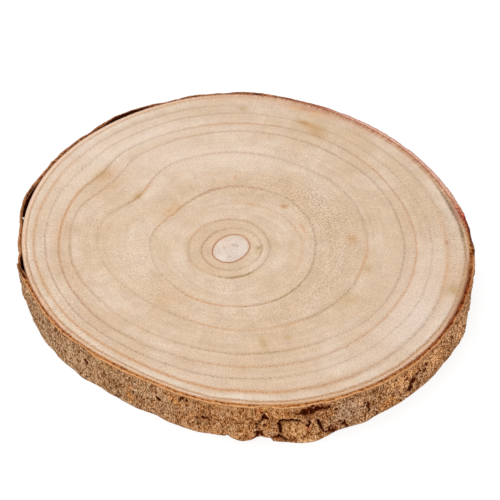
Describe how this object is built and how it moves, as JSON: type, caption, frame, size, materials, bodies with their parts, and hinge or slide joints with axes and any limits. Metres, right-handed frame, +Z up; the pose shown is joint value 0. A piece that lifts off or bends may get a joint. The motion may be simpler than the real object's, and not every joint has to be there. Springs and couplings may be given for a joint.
{
  "type": "wood slice",
  "caption": "Flat sawn cross-section of a young trunk, with pale ringed wood, a soft pale pith and thin rough bark round the edge; a rustic board, trivet or display base.",
  "frame": {"origin": "centre of the slice's bounding box, on the underside that it rests on", "axes": "+Z up out of the ringed top face, +X to the right and +Y to the back as the slice is pictured"},
  "size_m": [0.2992, 0.2978, 0.0295],
  "materials": {
    "wood": "sawn and lightly sanded end grain, unsealed, matte",
    "bark": "dry fibrous bark, rough and matte"
  },
  "bodies": {
    "root": {"wood_disc": "wood", "bark_ring": "bark"}
  },
  "joints": []
}
